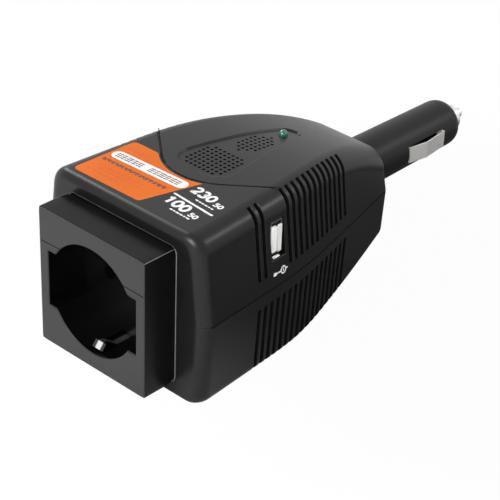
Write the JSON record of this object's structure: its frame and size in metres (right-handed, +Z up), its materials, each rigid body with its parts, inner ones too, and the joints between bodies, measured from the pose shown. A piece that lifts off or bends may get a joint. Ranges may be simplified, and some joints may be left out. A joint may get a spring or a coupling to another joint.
{
  "type": "power inverter",
  "caption": "Plug-in vehicle power inverter: lighter-socket plug, tapered louvred housing, earthed round mains socket, USB-A port, status lamp and perforated vents.",
  "frame": {"origin": "centre of the bounding box in plan, on the flat underside of the housing", "axes": "+Y along the plug's axis towards the plug tip, +Z up, +X to the side with the USB port; the mains socket faces -Y"},
  "size_m": [0.0796, 0.2026, 0.0654],
  "materials": {
    "housing_plastic": "fine satin texture, moulded black",
    "socket_plastic": "satin moulded black",
    "carrier_plastic": "plain moulded black",
    "plug_plastic": "semi-gloss moulded black",
    "plated_metal": "bright nickel plate",
    "spring_metal": "bright spring strip",
    "contact_brass": "plain brass",
    "fuse_glass": "clear",
    "board_green": "solder mask green",
    "ferrite": "sintered dark grey",
    "winding_tape": "yellow tape",
    "capacitor_sleeve": "shrink sleeve",
    "copper_winding": "enamelled copper",
    "black_epoxy": "moulded epoxy",
    "heatsink_aluminium": "mill finish",
    "white_plastic": "white insulator",
    "lamp_green": "tinted lens",
    "screw_steel": "zinc plated",
    "red_insulation": "sleeving",
    "black_insulation": "sleeving",
    "brown_insulation": "sleeving",
    "blue_insulation": "sleeving"
  },
  "bodies": {
    "inverter": {"lower_housing": "housing_plastic", "upper_housing": "housing_plastic", "socket_block": "socket_plastic", "contact_carrier": "carrier_plastic", "line_contact": "contact_brass", "neutral_contact": "contact_brass", "earth_strap": "spring_metal", "plug_barrel": "plug_plastic", "plug_spring": "spring_metal", "fuse_base": "contact_brass", "circuit_board": "board_green", "transformer_core": "ferrite", "transformer_coil": "winding_tape", "storage_capacitor": "capacitor_sleeve", "input_capacitors": "capacitor_sleeve", "output_choke": "copper_winding", "power_transistors": "black_epoxy", "heatsink": "heatsink_aluminium", "buzzer": "black_epoxy", "usb_shell": "plated_metal", "usb_tongue": "white_plastic", "usb_board": "board_green", "status_led": "lamp_green", "led_leads": "spring_metal", "fan_frame": "carrier_plastic", "board_screws": "screw_steel", "housing_screws": "screw_steel", "dc_lead_positive": "red_insulation", "dc_lead_negative": "black_insulation", "ac_lead_line": "brown_insulation", "ac_lead_neutral": "blue_insulation"},
    "earth_clip_top": {"earth_clip_top": "spring_metal"},
    "earth_clip_bottom": {"earth_clip_bottom": "spring_metal"},
    "side_contact_right": {"side_contact_right": "plated_metal"},
    "side_contact_left": {"side_contact_left": "plated_metal"},
    "nose_washer": {"nose_washer": "contact_brass"},
    "nose_cap": {"nose_cap": "plated_metal"},
    "fuse_and_tip": {"tip_contact": "plated_metal", "fuse_glass": "fuse_glass", "fuse_caps": "plated_metal", "fuse_wire": "spring_metal"},
    "fan_rotor": {"fan_rotor": "carrier_plastic"}
  },
  "joints": [
    {"name": "earth_clip_top_flex", "type": "hinge", "parent": "inverter", "child": "earth_clip_top", "pos_m": [0, -0.0834, 0.05395], "axis": [-1, 0, 0], "range_deg": [0, 10], "stiffness_Nm_per_rad": 0.6, "springref_deg": -2.86},
    {"name": "earth_clip_bottom_flex", "type": "hinge", "parent": "inverter", "child": "earth_clip_bottom", "pos_m": [0, -0.0834, 0.01015], "axis": [1, 0, 0], "range_deg": [0, 10], "stiffness_Nm_per_rad": 0.6, "springref_deg": -2.86},
    {"name": "side_contact_right_press", "type": "slide", "parent": "inverter", "child": "side_contact_right", "axis": [-1, 0, 0], "range_m": [0, 0.0013], "stiffness_N_per_m": 1500, "springref_m": -0.0005},
    {"name": "side_contact_left_press", "type": "slide", "parent": "inverter", "child": "side_contact_left", "axis": [1, 0, 0], "range_m": [0, 0.0013], "stiffness_N_per_m": 1500, "springref_m": -0.0005},
    {"name": "cap_advance", "type": "slide", "parent": "inverter", "child": "nose_washer", "axis": [0, 1, 0], "range_m": [0, 0.003], "deforming": ["plug_spring"]},
    {"name": "cap_turn", "type": "hinge", "parent": "nose_washer", "child": "nose_cap", "pos_m": [0, 0.0939, 0.0327], "axis": [0, 1, 0], "range_deg": [0, 1081]},
    {"name": "tip_travel", "type": "slide", "parent": "nose_washer", "child": "fuse_and_tip", "axis": [0, -1, 0], "range_m": [0, 0.003], "stiffness_N_per_m": 300, "springref_m": -0.006, "deforming": ["plug_spring"]},
    {"name": "fan_spin", "type": "hinge", "parent": "inverter", "child": "fan_rotor", "pos_m": [0, -0.0416, 0.0572], "axis": [0, 0, 1], "continuous": true}
  ],
  "couplings": [
    {"joint": "cap_turn", "follows": "cap_advance", "rad_per_m": 6283.2}
  ]
}
